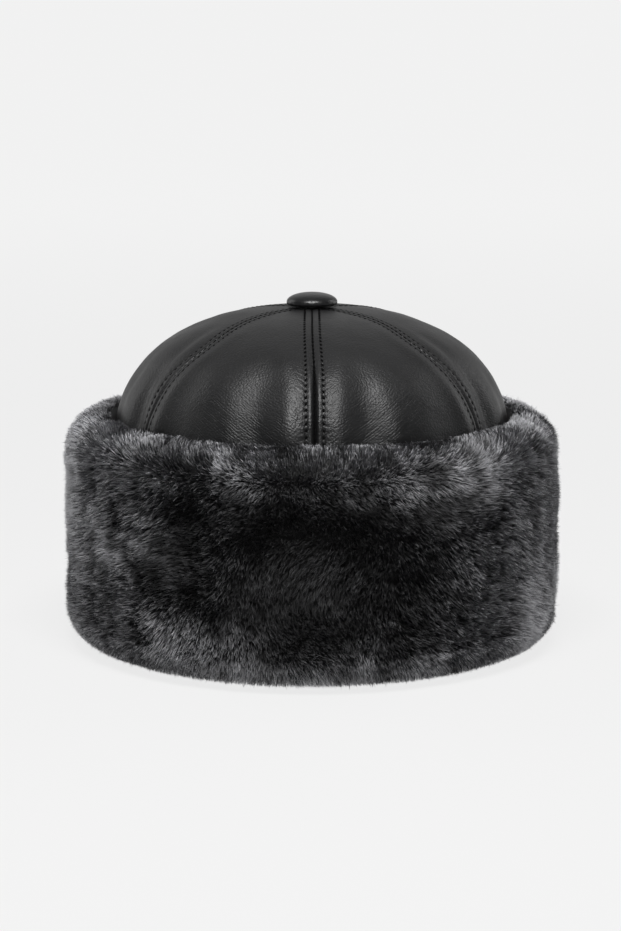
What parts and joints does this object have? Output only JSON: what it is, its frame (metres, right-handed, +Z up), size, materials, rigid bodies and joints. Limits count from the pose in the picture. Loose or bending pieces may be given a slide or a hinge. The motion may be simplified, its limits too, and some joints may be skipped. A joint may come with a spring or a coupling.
{
  "type": "fur-cuffed leather winter hat",
  "caption": "Round leather crown of stitched gores with a covered button on top, rising from a tall turned-up cuff of dense fur.",
  "frame": {"origin": "on the floor, in the middle of the hat, under the button", "axes": "+Z up through the button; -Y towards the front of the hat; +X to the right in the picture"},
  "size_m": [0.2508, 0.2689, 0.1727],
  "materials": {
    "leather": "smooth black nappa with a soft sheen",
    "fur": "dense charcoal pile, dark at the root and frosted grey at the tips"
  },
  "bodies": {
    "root": {"crown_panel_front_right": "leather", "crown_panel_right": "leather", "crown_panel_back_right": "leather", "crown_panel_back_left": "leather", "crown_panel_left": "leather", "crown_panel_front_left": "leather", "top_button": "leather", "fur_cuff": "fur"}
  },
  "joints": []
}
